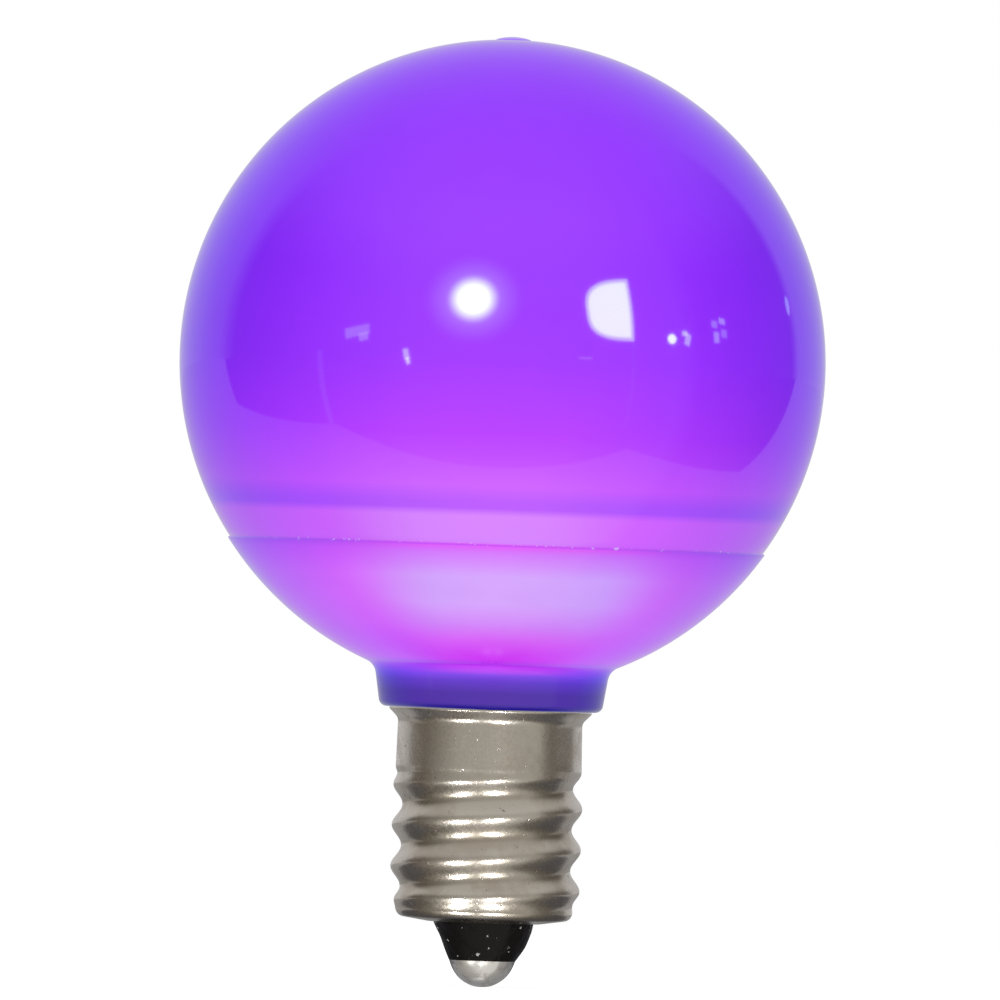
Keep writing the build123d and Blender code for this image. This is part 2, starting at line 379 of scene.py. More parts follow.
@dataclass(frozen=True)
class LitPlastic(Finish):
    """Violet tinted plastic with a polished skin; the emitters' light through its wall is painted into its emission.

    The wall is tinted all through, so it looks darker and bluer where it is seen at a slant: the coat's tint does
    that, as its light falls off with the length of the way through. A band's colour is what a level view shows at
    its height: painted glow, painted shade and painted pools of the emitters' light. Its emission is that, less the
    mirror image in the skin, made up for the tint along the slanted way and for what the skin keeps back. From one
    band to the next the colours change evenly.
    """

    bands: tuple[Band, ...]
    centre: float
    radius: float
    seam: float
    neck: float = 0.0
    steepest: float = 0.96
    glow_step: float = 1.5 * MM
    body: Colour = (0.030, 0.006, 0.120)
    scuffed: float = 1.6
    roughness: Span = (0.32, 0.42)
    relief: Span = (0.04, 0.02 * MM)
    skin_tint: Colour = (0.085, 0.11, 0.50)
    skin_roughness: float = 0.06
    skin_ior: float = 1.5
    mirrored: float = 0.018
    skin_loss: float = 0.045
    strength: float = 12.0
    between_turn: float = math.radians(33)
    lobe_turn: float = math.radians(-4)
    lobe_span: Span = (-0.3, 0.95)
    cloud: Wear = Wear(9 * MM)
    cloud_span: Span = (0.35, 0.65)
    cloud_shade: Span = (0.96, 1.0)
    scuffs: Wear = Wear(0.5 * MM, (0.64, 0.74))
    # Painted glints along the seam: their grain, their colour and how far from the seam they reach.
    glint_specks: Wear = Wear(0.3 * MM, (0.60, 0.66))
    seam_glint: Colour = (238, 196, 250)
    glint_reach: float = 0.13 * MM

    def way(self, height: float, turn: float) -> float:
        """Length of a level view's way through the wall, in walls, at a height and an angle round the axis.

        With the wall's tilt s from the level, the sine of the angle of view is √(1 − cos²s · cos²turn), and the way
        is one over the cosine of that angle inside the wall. The collar under the neck stands upright.

        Args:
            height: height above the solder tip.
            turn: angle round the axis, from the viewer's side.

        Returns:
            The length, 1 where the view is square to the wall.
        """
        tilt = (height - self.centre) / self.radius if height > self.neck else 0.0
        slant = 1 - (1 - min(tilt * tilt, self.steepest)) * math.cos(turn) ** 2
        return 1 / math.sqrt(1 - slant / self.skin_ior**2)

    def emitted(self, wanted: Colour, height: float, turn: float) -> Colour:
        """Emission that shows as a wanted display colour at a height and an angle round the axis.

        Args:
            wanted: the display colour.
            height: height above the solder tip.
            turn: angle round the axis, from the viewer's side.

        Returns:
            The emission as a share of the strength.
        """
        light = np.array(linear(*wanted)) - self.mirrored
        kept = np.array(self.skin_tint) ** self.way(height, turn) * (1 - self.skin_loss)
        return tuple(np.clip(light / kept / self.strength, 0, 1))

    def glow(self, graph: Graph, effects: Effects, wanted: dict[float, Colour], turn: float) -> Socket:
        """Ramp of the emission that shows as a wanted display colour at each height, and evenly in between.

        Args:
            graph: the material's graph.
            effects: the shared effects.
            wanted: the display colour at each height.
            turn: angle round the axis for which the tint is made up.

        Returns:
            The ramp's colour.
        """
        rows = divided(np.array([(height, *colour) for height, colour in wanted.items()]), self.glow_step, 1)
        low, high = float(rows[0, 0]), float(rows[-1, 0])
        stops = [((row[0] - low) / (high - low), self.emitted(row[1:], row[0], turn)) for row in rows]
        return graph.ramp(graph.group(effects.height, Low=low, High=high)["Share"], stops)

    def wire(self, graph: Graph, effects: Effects) -> dict[str, object]:
        """Painted glow by height, brighter ahead of each painted lobe of light and with painted glints at the seam,
        under a clear coat with scuffs.

        Args:
            graph: the material's graph.
            effects: the shared effects.

        Returns:
            A value or socket for each input of the shader.
        """
        edges = [(height, band) for band in self.bands for height in (band.low, band.high)]
        ahead = self.glow(graph, effects, {height: band.ahead for height, band in edges}, 0.0)
        between = self.glow(graph, effects, {height: band.between for height, band in edges}, self.between_turn)
        lobe_low, lobe_high = self.lobe_span
        lobe = graph.group(effects.lobes, Turn=self.lobe_turn, Low=lobe_low, High=lobe_high)["Lobe"]
        glow = graph.mix(lobe, between, ahead)
        # Painted glints: bright emission specks on a narrow line along the seam.
        line = graph.group(effects.height, Low=self.seam - self.glint_reach, High=self.seam + self.glint_reach)["Share"]
        near = graph.math("PINGPONG", graph.math("MULTIPLY", line, 2.0), 1.0)
        glint_specks = graph.math("MULTIPLY", self.glint_specks.wire(graph, effects)["Marks"], near)
        glow = graph.mix(glint_specks, glow, self.emitted(self.seam_glint, self.seam, 0.0))
        shade = graph.ease(self.cloud.wire(graph, effects)["Grain"], *self.cloud_span, self.cloud_shade)
        cloud = graph.node("CombineColor", dict.fromkeys(range(3), shade))[0]
        scuffs = self.scuffs.wire(graph, effects)
        return {
            "Base Color": graph.mix(scuffs["Marks"], self.body, scaled(self.body, self.scuffed)),
            "Roughness": graph.grained(scuffs["Grain"], self.roughness),
            "Normal": graph.relief(scuffs["Grain"], *self.relief),
            "Emission Color": graph.mix(1.0, glow, cloud, "MULTIPLY"),
            "Emission Strength": self.strength,
            "Specular IOR Level": 0.0,
            "Coat Weight": 1.0,
            "Coat Roughness": self.skin_roughness,
            "Coat IOR": self.skin_ior,
            "Coat Tint": self.skin_tint,
        }


@dataclass(frozen=True)
class SheetNickel(Finish):
    """Thin nickel-plated sheet, satin, browner in the thread's roots and polished on its crests."""

    crest: Colour = (0.68, 0.63, 0.56)
    root: Colour = (0.56, 0.51, 0.43)
    crest_radius: float = 5.9 * MM
    root_radius: float = 5.2 * MM
    roughness: Span = (0.20, 0.29)
    relief: Span = (0.35, 0.05 * MM)
    stains: Wear = Wear(2.2 * MM, (0.42, 0.62))
    stain: Colour = (0.86, 0.83, 0.80)
    stain_cover: float = 0.85
    stain_roughness: float = 0.06
    stain_height: float = 1.2
    grain: Wear = Wear(0.18 * MM)
    grain_height: float = 0.25
    pits: Wear = Wear(0.45 * MM, (0.66, 0.74))
    pit_shade: float = 0.45

    def wire(self, graph: Graph, effects: Effects) -> dict[str, object]:
        """Stains and root dirt in the colour, a satin grain in the gloss, small pits in the surface.

        Args:
            graph: the material's graph.
            effects: the shared effects.

        Returns:
            A value or socket for each input of the shader.
        """
        reach = graph.group(effects.reach, Near=self.root_radius, Far=self.crest_radius)["Share"]
        stains, grain, pits = (wear.wire(graph, effects) for wear in (self.stains, self.grain, self.pits))
        colour = graph.mix(reach, self.root, self.crest)
        stained = graph.mix(self.stain_cover, colour, self.stain, "MULTIPLY")
        colour = graph.mix(stains["Marks"], colour, stained)
        rough = graph.math("MULTIPLY", stains["Marks"], self.stain_roughness)
        depth = graph.math("SUBTRACT", graph.math("MULTIPLY", grain["Grain"], self.grain_height), pits["Marks"])
        depth = graph.math("ADD", depth, graph.math("MULTIPLY", stains["Grain"], self.stain_height))
        return {
            "Base Color": graph.mix(pits["Marks"], colour, scaled(self.root, self.pit_shade)),
            "Roughness": graph.math("ADD", graph.grained(grain["Grain"], self.roughness), rough),
            "Normal": graph.relief(depth, *self.relief),
            "Metallic": 1.0,
        }


@dataclass(frozen=True)
class BlackVitrite(Finish):
    """Glossy black moulding with a lumpy skin and a few painted white glints."""

    body: Colour = (0.008, 0.006, 0.006)
    glint_white: Colour = (0.95, 0.94, 0.92)
    glint_specks: Wear = Wear(0.55 * MM, (0.67, 0.69))
    lumps: Wear = Wear(1.1 * MM)
    roughness: Span = (0.10, 0.22)
    relief: Span = (0.45, 0.35 * MM)
    gloss: float = 0.3

    def wire(self, graph: Graph, effects: Effects) -> dict[str, object]:
        """Painted white glints in the colour and gloss, lumps in the surface.

        Args:
            graph: the material's graph.
            effects: the shared effects.

        Returns:
            A value or socket for each input of the shader.
        """
        # The white specks are painted glints: matte white spots that stand in for highlights on the lumps.
        lumps, glint_specks = (wear.wire(graph, effects) for wear in (self.lumps, self.glint_specks))
        rough = graph.grained(lumps["Grain"], self.roughness)
        return {
            "Base Color": graph.mix(glint_specks["Marks"], self.body, self.glint_white),
            "Roughness": graph.math("MAXIMUM", rough, glint_specks["Marks"]),
            "Normal": graph.relief(lumps["Grain"], *self.relief),
            "IOR": 1.5,
            "Specular IOR Level": self.gloss,
        }


@dataclass(frozen=True)
class SolderSkin(Finish):
    """Cooled solder: bright, a little lumpy, with a dull frosting."""

    bright: Colour = (0.88, 0.86, 0.82)
    frosted: Colour = (0.66, 0.63, 0.58)
    frost: Wear = Wear(0.5 * MM, (0.45, 0.65))
    lumps: Wear = Wear(0.9 * MM)
    roughness: Span = (0.15, 0.34)
    relief: Span = (0.12, 0.2 * MM)

    def wire(self, graph: Graph, effects: Effects) -> dict[str, object]:
        """Frosting in the colour and gloss, lumps in the surface.

        Args:
            graph: the material's graph.
            effects: the shared effects.

        Returns:
            A value or socket for each input of the shader.
        """
        lumps, frost = (wear.wire(graph, effects) for wear in (self.lumps, self.frost))
        return {
            "Base Color": graph.mix(frost["Marks"], self.bright, self.frosted),
            "Roughness": graph.grained(frost["Grain"], self.roughness),
            "Normal": graph.relief(lumps["Grain"], *self.relief),
            "Metallic": 1.0,
        }


@dataclass(frozen=True)
class PlainGrain(Finish):
    """Plain moulded, lacquered or tinned surface with a fine grain: two close colours and two close glosses."""

    first: Colour
    second: Colour
    roughness: Span = (0.35, 0.55)
    relief: Span = (0.3, 0.02 * MM)
    grain: Wear = Wear(0.3 * MM, (0.4, 0.6))
    metal: float = 0.0
    glow: Colour = BLACK

    def wire(self, graph: Graph, effects: Effects) -> dict[str, object]:
        """Grain in the colour, the gloss and the surface, and a glow where the finish has one.

        Args:
            graph: the material's graph.
            effects: the shared effects.

        Returns:
            A value or socket for each input of the shader.
        """
        grain = self.grain.wire(graph, effects)
        return {
            "Base Color": graph.mix(grain["Marks"], self.first, self.second),
            "Roughness": graph.grained(grain["Grain"], self.roughness),
            "Normal": graph.relief(grain["Grain"], *self.relief),
            "Metallic": self.metal,
            "Emission Color": self.glow,
            "Emission Strength": 0.0 if self.glow == BLACK else 1.0,
        }


def arc(centre_height: float, radius: float, start: float, end: float, steps: int) -> Path:
    """Points of a round arc centred on the axis, as radius and height, from one height to another.

    The arc is divided evenly by angle: the point at angle a is at radius r·sin(a) and height c + r·cos(a).

    Args:
        centre_height: height of the arc's centre.
        radius: the arc's radius.
        start: height of its first point.
        end: height of its last point.
        steps: number of points.

    Returns:
        Radius and height of each point.
    """
    first = math.acos(max(-1.0, min(1.0, (start - centre_height) / radius)))
    last = math.acos(max(-1.0, min(1.0, (end - centre_height) / radius)))
    angle = np.linspace(first, last, steps)
    return np.stack((radius * np.sin(angle), centre_height + radius * np.cos(angle)), axis=1)


def rounded(points: list[tuple[float, float]], radii: list[float], steps: int = 6) -> Path:
    """An open line with its corners rounded.

    At a corner with half the inner angle h, a circle of radius r touches both sides at r / tan(h) from the corner,
    and its centre is r / sin(h) along the line that halves the corner.

    Args:
        points: corners as radius and height, with the two ends.
        radii: a rounding radius for each point, 0 for a sharp one.
        steps: points on each rounding.

    Returns:
        The points of the rounded line.
    """
    corners = np.array(points, float)
    line = [corners[:1]]
    for before, corner, after, radius in zip(corners[:-2], corners[1:-1], corners[2:], radii[1:-1]):
        if radius == 0:
            line.append(corner[None])
            continue
        to_before = (before - corner) / np.linalg.norm(before - corner)
        to_after = (after - corner) / np.linalg.norm(after - corner)
        half = math.acos(float(np.clip(to_before @ to_after, -1, 1))) / 2
        middle = (to_before + to_after) / np.linalg.norm(to_before + to_after)
        centre = corner + middle * radius / math.sin(half)
        start = corner + to_before * radius / math.tan(half) - centre
        end = corner + to_after * radius / math.tan(half) - centre
        share = np.linspace(0, 1, steps)[:, None]
        sweep = math.pi - 2 * half
        line.append(centre + (start * np.sin((1 - share) * sweep) + end * np.sin(share * sweep)) / math.sin(sweep))
    line.append(corners[-1:])
    return np.concatenate(line)


def divided(path: np.ndarray, spacing: float, measured: int = 2) -> np.ndarray:
    """A line with points added so that none lie further apart than the spacing, in its first so many measures.

    Args:
        path: the line, one row of measures for each point.
        spacing: the longest step.
        measured: how many of the measures count in a step.

    Returns:
        The line with the added points, which divide each side evenly.
    """
    steps = np.maximum(np.ceil(np.linalg.norm(np.diff(path[:, :measured], axis=0), axis=1) / spacing), 1).astype(int)
    place = np.concatenate([index + np.arange(count) / count for index, count in enumerate(steps)] + [[len(steps)]])
    return np.stack([np.interp(place, np.arange(len(path)), measure) for measure in path.T], axis=1)


def spin(path: Path, segments: int) -> np.ndarray:
    """Rings of points from turning a line of radius and height about the axis, as ring, segment, XYZ.

    Args:
        path: radius and height of each point.
        segments: points round each ring.

    Returns:
        The rings.
    """
    angle = np.linspace(0, 2 * math.pi, segments, endpoint=False)
    radius, height = path[:, :1], path[:, 1:]
    return np.stack((radius * np.cos(angle), radius * np.sin(angle), height + 0 * angle), axis=2)


def skin(name: str, rings: np.ndarray, poles: tuple[float, float] | None = None) -> Piece:
    """Closed smooth mesh through rings of points.

    Quads join each ring to the next. With poles, a fan closes each end on the axis at the pole's height; without,
    the last ring joins the first. Six times the signed volume, the sum over the faces of p · (q × r), tells whether
    the faces point outwards.

    Args:
        name: the object's name.
        rings: points as ring, segment, XYZ.
        poles: heights of the two poles, or None for a shell that goes round.

    Returns:
        The object, linked to the scene, with its place in its mesh.
    """
    count, segments, _ = rings.shape
    points = rings.reshape(-1, 3)
    index = np.arange(count * segments).reshape(count, segments)
    if poles is None:
        index = np.concatenate((index, index[:1]))
    beside = np.roll(index, -1, axis=1)
    quads = np.stack((index[:-1], beside[:-1], beside[1:], index[1:]), axis=-1).reshape(-1, 4)
    triangles = np.empty((0, 3), int)
    if poles is not None:
        ends = [[0, 0, height] for height in poles]
        first, last = len(points), len(points) + 1
        points = np.concatenate((points, ends))
        starts = np.stack((beside[0], index[0], np.full(segments, first)), axis=-1)
        closes = np.stack((index[-1], beside[-1], np.full(segments, last)), axis=-1)
        triangles = np.concatenate((starts, closes))
    halves = np.concatenate((quads[:, :3], quads[:, [0, 2, 3]], triangles))
    corners = points[halves]
    if np.einsum("ij,ij->", corners[:, 0], np.cross(corners[:, 1], corners[:, 2])) < 0:
        quads, triangles = quads[:, ::-1], triangles[:, ::-1]
    mesh = bpy.data.meshes.new(name)
    mesh.from_pydata(points.tolist(), [], quads.tolist() + triangles.tolist())
    mesh.shade_smooth()
    mesh.set_sharp_from_angle(angle=SHARP_EDGE)
    return placed(name, mesh)


class SubAssembly(ABC):
    """A part of the bulb that is built, dressed and reported."""

    def __init__(self, effects: Effects) -> None:
        """Keeps the shared effects."""
        self.effects = effects
        self.pieces: dict[str, Piece] = {}

    @abstractmethod
    def build(self) -> None:
        """Makes the pieces' shapes."""

    @abstractmethod
    def dress(self) -> None:
        """Gives each piece its finish."""

    def stand_in(self, piece: Piece, node: str, finish: Finish) -> None:
        """Puts a piece in a CAD node's place, on its body, with a finish.

        Args:
            piece: the piece.
            node: the node that it replaces.
            finish: its finish.
        """
        piece.data.materials.append(finish.material(self.effects))
        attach(piece, BODY)
        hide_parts(node)

    def repaint(self, finish: Finish, *nodes: str) -> None:
        """Gives CAD nodes that stay a finish in each of their material slots.

        Args:
            finish: the finish.
            nodes: names of the nodes.
        """
        material = finish.material(self.effects)
        for name in nodes:
            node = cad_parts[name]
            for place in node.material_slots:
                place.material = material
            self.pieces[name] = node

    def make(self) -> None:
        """Builds and dresses the pieces, and reports each."""
        self.build()
        self.dress()
        for name, piece in self.pieces.items():
            log.info("%s: %s faces, %s", name, len(piece.data.polygons), piece.data.materials[0].name)


@dataclass(frozen=True)
class GlobeSizes:
    """Sizes of the globe's two mouldings."""

    wall: float = 1.0 * MM
    rim_lift: float = 0.23 * MM
    rim_bevel: float = 0.1 * MM
    edge_bevel: float = 0.08 * MM
    gate_radius: float = 1.1 * MM
    gate_height: float = 0.18 * MM
    lip_clearance: float = 0.1 * MM
    lip_wall: float = 0.7 * MM
    lip_height: float = 3.0 * MM
    collar_radius: float = 6.88 * MM
    collar_top_radius: float = 7.28 * MM
    collar_height: float = 2.6 * MM
    collar_corner: float = 0.5 * MM
    neck_fillet: float = 1.0 * MM
    spigot_radius: float = 5.39 * MM
    spigot_wall: float = 0.95 * MM
    pocket_radius: float = 5.9 * MM
    ledge_height: float = 1.4 * MM
    neck_height: float = 2.8 * MM
    collar_spacing: float = 0.3 * MM
    segments: int = 224


class Globe(SubAssembly):
    """The lit globe: the dome with its gate mark, and the cup with its lip, ledge, collar and spigot."""

    def __init__(self, effects: Effects, sizes: GlobeSizes) -> None:
        """Takes the heights from the frame.

        Args:
            effects: the shared effects.
            sizes: the globe's sizes.
        """
        super().__init__(effects)
        self.sizes = sizes
        low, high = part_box("globe_dome")
        self.radius = (high.x - low.x) / 2
        self.seam = low.z
        self.top = high.z
        self.dome_centre = self.top - sizes.gate_height - self.radius
        self.cup_centre = self.dome_centre - sizes.rim_lift
        self.spigot_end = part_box("globe_cup")[0].z
        self.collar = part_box("screw_shell")[1].z

    def dome_path(self) -> Path:
        """Line of the dome from its gate mark down to the seam and up again inside.

        Returns:
            Radius and height of each point.
        """
        sizes = self.sizes
        mark = (sizes.gate_radius**2 + sizes.gate_height**2) / (2 * sizes.gate_height)
        mark_foot = self.dome_centre + math.sqrt(self.radius**2 - sizes.gate_radius**2)
        gate = arc(self.top - mark, mark, self.top, mark_foot, steps=8)[1:-1]
        outside = arc(self.dome_centre, self.radius, mark_foot, self.seam + sizes.edge_bevel, steps=110)
        edge = [(outside[-1, 0] - sizes.edge_bevel, self.seam)]
        inner = self.radius - sizes.wall
        inside = arc(self.dome_centre, inner, self.seam, self.dome_centre + inner, steps=50)[:-1]
        return np.concatenate((gate, outside, edge, inside))

    def neck(self) -> tuple[Path, Path]:
        """The globe's side above the neck and the collar below it, joined by the neck's fillet.

        The fillet's centre is its radius out from the collar's side, and the sum of both radii from the globe's
        centre. Along the collar's side that is the larger root of a quadratic.

        Returns:
            Radius and height of each point of the side, and of each point of the collar.
        """
        sizes = self.sizes
        foot = np.array((sizes.collar_radius, self.collar))
        head = np.array((sizes.collar_top_radius, self.collar + sizes.collar_height))
        along = (head - foot) / np.linalg.norm(head - foot)
        out = np.array((along[1], -along[0]))
        start = foot + out * sizes.neck_fillet - np.array((0, self.cup_centre))
        reach = self.radius + sizes.neck_fillet
        half = start @ along
        run = -half - math.sqrt(half**2 - start @ start + reach**2)
        centre = start + along * run + np.array((0, self.cup_centre))
        globe_side = (np.array((0, self.cup_centre)) - centre) / reach * sizes.neck_fillet
        first = math.atan2(globe_side[1], globe_side[0])
        last = math.atan2(-out[1], -out[0])
        angle = np.linspace(first, last, num=16)
        fillet = centre + sizes.neck_fillet * np.stack((np.cos(angle), np.sin(angle)), axis=1)
        side = arc(self.cup_centre, self.radius, self.seam - sizes.rim_bevel, fillet[0, 1], steps=70)[:-1]
        corners = [tuple(fillet[-1]), tuple(foot), (sizes.spigot_radius, self.collar)]
        collar = rounded(corners, [0, sizes.collar_corner, 0], steps=9)
        return np.concatenate((side, fillet)), divided(collar[1:], sizes.collar_spacing)

    def cup_path(self) -> Path:
        """Line round the cup's section, from the seam's rim down outside and up again inside.

        Returns:
            Radius and height of each point.
        """
        sizes = self.sizes
        outside, collar = self.neck()
        inner = self.radius - sizes.wall
        bore = sizes.spigot_radius - sizes.spigot_wall
        ledge = self.collar + sizes.ledge_height
        pocket_top = self.cup_centre - math.sqrt(inner**2 - sizes.pocket_radius**2)
        lip = math.sqrt(inner**2 - (self.dome_centre - self.seam) ** 2) - sizes.lip_clearance
        lip_inside = lip - sizes.lip_wall
        lip_foot = self.cup_centre - math.sqrt(inner**2 - lip_inside**2)
        lip_top = self.seam + sizes.lip_height
        spigot = [(sizes.spigot_radius, self.spigot_end), (bore, self.spigot_end)]
        pocket = [(bore, ledge), (sizes.pocket_radius, ledge)]
        bowl = arc(self.cup_centre, inner, pocket_top, lip_foot, steps=24)
        seam = [(lip_inside, lip_top), (lip, lip_top), (lip, self.seam), (outside[0, 0] - sizes.rim_bevel, self.seam)]
        return np.concatenate((outside, collar, spigot, pocket, bowl, seam))

    def build(self) -> None:
        """Turns both lines about the axis."""
        inner_pole = self.dome_centre + self.radius - self.sizes.wall
        dome = spin(self.dome_path(), self.sizes.segments)
        self.pieces["dome_skin"] = skin("dome_skin", dome, (self.top, inner_pole))
        self.pieces["cup_skin"] = skin("cup_skin", spin(self.cup_path(), self.sizes.segments))

    def dress(self) -> None:
        """Paints the light through both mouldings: the lip's painted shadow, a painted bright line at the seam, painted
        pools of light at the board and painted shade on the collar.
        """
        # Painted light through the dome's wall, band by band: a painted bright line at the seam, the lip's painted
        # shadow and the painted glow fading up to the cap.
        dome = bands(
            self.seam,
            # Painted bright line of light along the seam's edge.
            (0.0, 0.0, (236, 104, 252), (196, 82, 244)),  # The edge at the seam
            (0.12, 1.75, (217, 131, 253), (206, 95, 253)),  # Between the seam and the lip's shade
            # Painted shadow of the lip inside the wall.
            (2.2, 2.6, (187, 88, 251), (171, 76, 252)),  # The lip's shade
            (3.6, 3.6, (208, 96, 253), (194, 80, 253)),  # Brightest above the lip
            (6.8, 6.8, (190, 70, 255), (174, 64, 254)),  # Where the pink ends
            (11.5, 11.5, (165, 64, 254), (155, 58, 252)),  # The globe's middle
            (17.0, 20.0, (160, 65, 253), (149, 55, 251)),  # Its shoulder
            (27.0, 27.0, (150, 54, 250), (146, 48, 250)),  # Its cap
        ) + bands(
            self.top,
            (-0.3, -0.3, (142, 50, 246), (142, 50, 246)),  # Round the gate mark
            # The gate mark is painted paler than the cap round it.
            (0.0, 0.0, (196, 160, 250), (196, 160, 250)),  # The gate mark
        )
        # Painted light through the cup, band by band: painted shade on the spigot and collar below the board, a painted
        # pool of light at the board's level, a painted bright patch where the emitters are seen through the wall and a
        # painted bright line at the seam.
        cup = bands(
            self.collar,
            # Painted shade: the spigot and the collar below the board get little of the emitters' light.
            (-3.0, 0.1, (55, 21, 139), (55, 21, 139)),  # The spigot and the collar's foot
            (0.4, 1.0, (80, 42, 160), (80, 42, 160)),  # The dark collar
            (1.75, 1.75, (102, 56, 200), (102, 56, 200)),  # Its lighter head
            (2.15, 2.15, (134, 70, 233), (131, 70, 235)),  # The neck's line
            # Painted pool of the emitters' light at the board's level.
            (2.5, 2.5, (228, 84, 253), (182, 74, 252)),  # The glow at the board's level
            (3.1, 3.1, (228, 66, 255), (196, 70, 255)),  # Its deepest pink
            (5.3, 5.3, (216, 142, 253), (212, 94, 253)),  # Under the bright patch
            # Painted bright patch of the emitters' light seen through the wall.
            (6.6, 8.2, (215, 167, 252), (216, 98, 252)),  # The bright patch
        ) + bands(
            self.seam,
            (-0.5, -0.5, (213, 118, 250), (204, 84, 250)),  # Over the bright patch
            # Painted bright line of light along the seam's edge.
            (-0.12, 3.0, (225, 89, 247), (187, 77, 243)),  # The edge at the seam, and the lip
        )
        for piece in self.pieces.values():
            piece.visible_glossy = False
            piece.visible_diffuse = False
        wall = {"centre": self.dome_centre, "radius": self.radius, "seam": self.seam}
        self.stand_in(self.pieces["dome_skin"], "globe_dome", LitPlastic("violet_dome", dome, **wall))
        skin_look = {"skin_tint": (0.02, 0.04, 0.6), "skin_roughness": 0.14, "strength": 96.0}
        light = {"lobe_turn": math.radians(5), "lobe_span": (-0.8, 0.6)}
        neck = self.collar + self.sizes.neck_height
        below = LitPlastic("violet_cup", cup, **wall, **skin_look, **light, neck=neck)
        self.stand_in(self.pieces["cup_skin"], "globe_cup", below)


@dataclass(frozen=True)
class ShellSizes:
    """Sizes of the rolled screw shell."""

    sheet: float = 0.25 * MM
    hole_radius: float = 3.45 * MM
    foot_radius: float = 5.48 * MM
    edge_rise: float = 0.3 * MM
    edge_corner: float = 0.66 * MM
    foot_bend: float = 0.55 * MM
    mean_radius: float = 5.56 * MM
    thread_depth: float = 0.64 * MM
    pitch: float = 2.54 * MM
    crest_above_foot: float = 6.51 * MM
    foot_run_out: float = 1.35 * MM
    foot_blend: float = 1.0 * MM
    head_run_out: float = 1.3 * MM
    crest_limit: Span = (0.5 * MM, 2.4 * MM)
    groove_limit: Span = (0.35 * MM, 1.3 * MM)
    limit_blend: float = 0.12 * MM
    band_height: float = 2.6 * MM
    band_foot_radius: float = 5.75 * MM
    band_head_radius: float = 5.7 * MM
    bell_height: float = 0.7 * MM
    bell_radius: float = 6.38 * MM
    bell_bend: float = 0.5 * MM
    ring_spacing: float = 0.085 * MM
    inner_ring_spacing: float = 0.25 * MM
    end_spacing: float = 0.15 * MM
    rim_width: float = 0.35 * MM
    rim_bend: float = 0.08 * MM
    segments: int = 168


